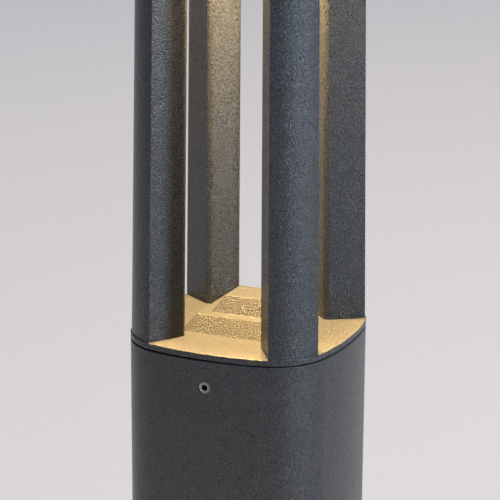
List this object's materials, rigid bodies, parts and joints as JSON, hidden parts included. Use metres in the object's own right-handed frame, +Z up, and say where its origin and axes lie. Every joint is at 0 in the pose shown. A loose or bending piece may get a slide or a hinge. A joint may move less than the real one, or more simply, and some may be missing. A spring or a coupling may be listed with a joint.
{
  "type": "bollard light",
  "caption": "Square-section bollard light with bowed sides: hollow column, open lantern of corner posts over a stepped reflector, and a lamp head shining down.",
  "frame": {"origin": "centre of the foot plate's underside, on the ground", "axes": "+Z up along the column, -Y the front, the side that carries the visible set screw, +X to the right"},
  "size_m": [0.15, 0.15, 1],
  "materials": {
    "anthracite_coat": "fine structured powder coat",
    "stainless": "turned stainless steel",
    "zinc_steel": "zinc-plated sheet",
    "aluminium": "as machined",
    "bright_reflector": "bright-anodised",
    "black_rubber": "matt EPDM",
    "grey_plastic": "moulded",
    "black_plastic": "moulded",
    "white_plastic": "moulded",
    "brass": "bright",
    "cable_black": "cable sheath",
    "lamp_glass": "clear toughened",
    "board_white": "white solder mask",
    "led_phosphor": "warm white LED phosphor"
  },
  "bodies": {
    "base": {"foot_plate": "anthracite_coat", "foot_collar": "anthracite_coat", "base_tube": "anthracite_coat", "cable_grommet": "black_rubber", "foot_screws": "stainless", "gear_tray": "zinc_steel", "tray_screws": "stainless", "connection_box": "grey_plastic", "box_seal": "black_rubber", "box_lid": "grey_plastic", "box_lid_screws": "stainless", "box_screws": "stainless", "supply_gland_body": "grey_plastic", "supply_gland_nut": "grey_plastic", "supply_gland_seal": "black_rubber", "link_gland_body": "grey_plastic", "link_gland_nut": "grey_plastic", "link_gland_seal": "black_rubber", "gland_locknuts": "grey_plastic", "terminal_block": "white_plastic", "terminal_screws": "brass", "earth_screw": "brass", "led_driver": "white_plastic", "driver_screws": "stainless", "mains_lead": "cable_black", "driver_lead": "cable_black", "lamp_socket": "black_plastic", "socket_pins": "brass", "connector_clip": "zinc_steel"},
    "lantern": {"lantern_floor": "anthracite_coat", "joint_gasket": "black_rubber", "stepped_reflector": "anthracite_coat", "reflector_screw": "stainless", "post_foot_screws": "stainless", "post_rear_right": "anthracite_coat", "post_rear_left": "anthracite_coat", "post_front_left": "anthracite_coat", "post_front_right": "anthracite_coat", "lead_grommet": "black_rubber", "lamp_lead": "cable_black", "lamp_plug": "black_plastic", "head_housing": "anthracite_coat", "post_head_screws": "stainless", "glass_gasket": "black_rubber", "lamp_glass": "lamp_glass", "lamp_reflector": "bright_reflector", "led_chip": "led_phosphor", "led_board": "board_white", "lead_terminal": "white_plastic", "heat_sink": "aluminium", "lamp_pillars": "aluminium", "board_screws": "stainless", "heat_sink_screws": "stainless"},
    "front_set_screw": {"set_screw_front": "stainless"},
    "rear_set_screw": {"set_screw_rear": "stainless"},
    "cap": {"head_cap": "anthracite_coat", "head_gasket": "black_rubber"},
    "cap_set_screw": {"head_set_screw": "stainless"}
  },
  "joints": [
    {"name": "lantern_lift", "type": "slide", "parent": "base", "child": "lantern", "axis": [0, 0, 1], "range_m": [0, 0.045]},
    {"name": "front_set_screw_travel", "type": "slide", "parent": "base", "child": "front_set_screw", "axis": [0, -1, 0], "range_m": [0, 0.004]},
    {"name": "rear_set_screw_travel", "type": "slide", "parent": "base", "child": "rear_set_screw", "axis": [0, 1, 0], "range_m": [0, 0.004]},
    {"name": "cap_lift", "type": "slide", "parent": "lantern", "child": "cap", "axis": [0, 0, 1], "range_m": [0, 0.025]},
    {"name": "cap_set_screw_travel", "type": "slide", "parent": "lantern", "child": "cap_set_screw", "axis": [0, 1, 0], "range_m": [0, 0.004]}
  ]
}
